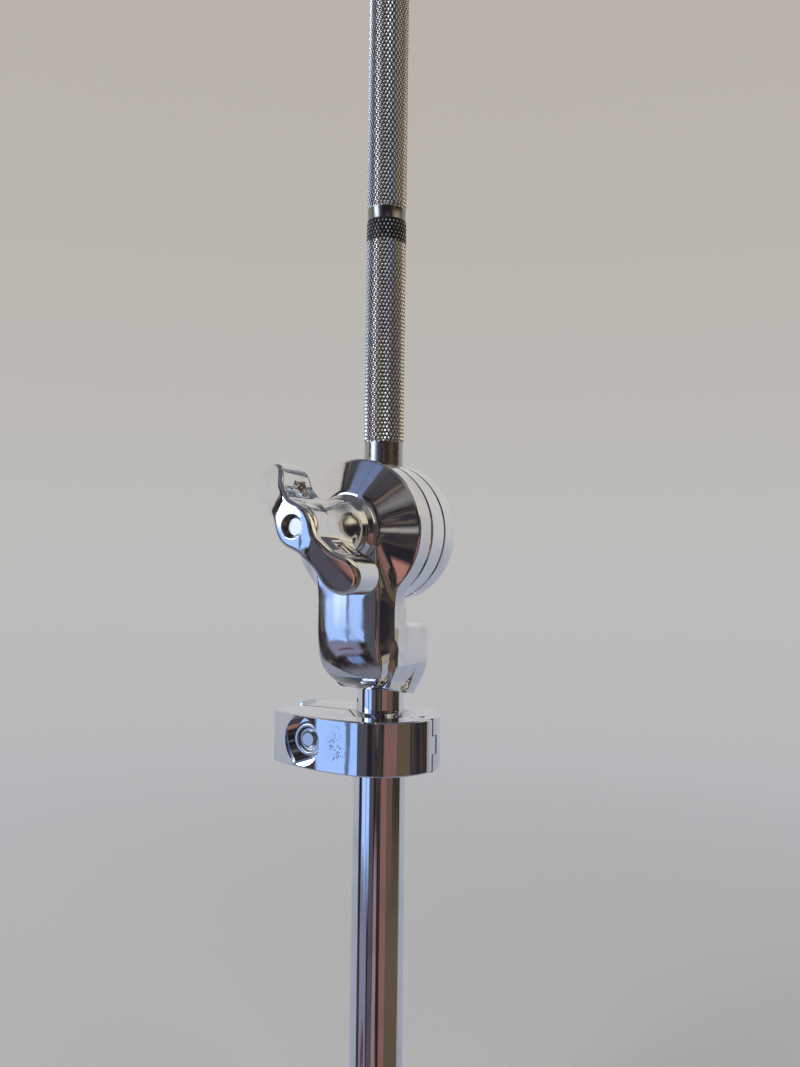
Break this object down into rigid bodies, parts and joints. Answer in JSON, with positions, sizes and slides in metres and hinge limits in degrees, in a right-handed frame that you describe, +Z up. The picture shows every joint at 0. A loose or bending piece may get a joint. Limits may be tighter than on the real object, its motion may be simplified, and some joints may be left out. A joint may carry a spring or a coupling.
{
  "type": "boom cymbal stand upper section",
  "caption": "Tilter on a chromed tube: two clamp discs hold a knurled boom rod, a wing nut locks it, and a hinged memory lock clamps the tube",
  "frame": {"origin": "centre of the tube's lower end", "axes": "+Z up the tube, +Y along the tilter bolt towards the back (the wing nut is at -Y), +X right"},
  "size_m": [0.062, 0.0799, 0.462],
  "materials": {
    "tube_chrome": "polished chrome plate on drawn tube",
    "cast_chrome": "polished chrome plate on casting, fine handling marks",
    "disc_chrome": "polished chrome plate",
    "lock_chrome": "polished chrome plate with small pits",
    "knurled_chrome": "satin chrome on a rolled diamond knurl",
    "zinc_steel": "bright zinc",
    "black_steel": "black oxide",
    "bronze": "sintered bronze",
    "nylon": "black nylon",
    "fibre": "friction fibre"
  },
  "bodies": {
    "stand_tube": {"tube": "tube_chrome", "tilter_body": "cast_chrome", "tube_set_screw": "black_steel", "rod_guide_bush": "nylon", "stud_bush": "bronze", "brake_ring": "fibre"},
    "tilt_head": {"front_clamp_disc": "disc_chrome", "rear_clamp_disc": "disc_chrome", "disc_guide_pins": "zinc_steel", "eye_bolt": "zinc_steel"},
    "boom_rod": {"boom_rod": "knurled_chrome", "rod_tail_plug": "nylon"},
    "nut_washer": {"thrust_washer": "cast_chrome"},
    "wing_nut": {"wing_nut": "cast_chrome", "wing_nut_insert": "zinc_steel"},
    "lock_front": {"memory_lock_front": "lock_chrome", "lock_nut": "zinc_steel", "lock_hinge_pin": "zinc_steel"},
    "lock_rear": {"memory_lock_rear": "lock_chrome"},
    "screw_washer": {"key_screw_washer": "zinc_steel"},
    "key_screw": {"key_screw": "zinc_steel"}
  },
  "joints": [
    {"name": "boom_tilt", "type": "hinge", "parent": "stand_tube", "child": "tilt_head", "pos_m": [0, 0, 0.23], "axis": [0, 1, 0], "range_deg": [-105, 105]},
    {"name": "rod_slide", "type": "slide", "parent": "tilt_head", "child": "boom_rod", "axis": [0, 0, 1], "range_m": [-0.15, 0]},
    {"name": "nut_backoff", "type": "slide", "parent": "stand_tube", "child": "nut_washer", "axis": [0, -1, 0], "range_m": [0, 0.0025]},
    {"name": "wing_nut_turn", "type": "hinge", "parent": "nut_washer", "child": "wing_nut", "pos_m": [0, -0.04, 0.23], "axis": [0, -1, 0], "range_deg": [0, 720]},
    {"name": "lock_slide", "type": "slide", "parent": "stand_tube", "child": "lock_front", "axis": [0, 0, 1], "range_m": [-0.12, 0]},
    {"name": "lock_open", "type": "hinge", "parent": "lock_front", "child": "lock_rear", "pos_m": [0.0174, 0, 0.1556], "axis": [0, 0, -1], "range_deg": [0, 3.23]},
    {"name": "screw_backoff", "type": "slide", "parent": "lock_front", "child": "screw_washer", "axis": [0, 1, 0], "range_m": [0, 0.003]},
    {"name": "key_screw_turn", "type": "hinge", "parent": "screw_washer", "child": "key_screw", "pos_m": [-0.021, 0, 0.1556], "axis": [0, 1, 0], "range_deg": [0, 1080]}
  ],
  "couplings": [
    {"joint": "wing_nut_turn", "follows": "nut_backoff", "rad_per_m": 5026.5},
    {"joint": "key_screw_turn", "follows": "lock_open", "ratio": 333.6},
    {"joint": "screw_backoff", "follows": "lock_open", "m_per_rad": 0.0531}
  ]
}
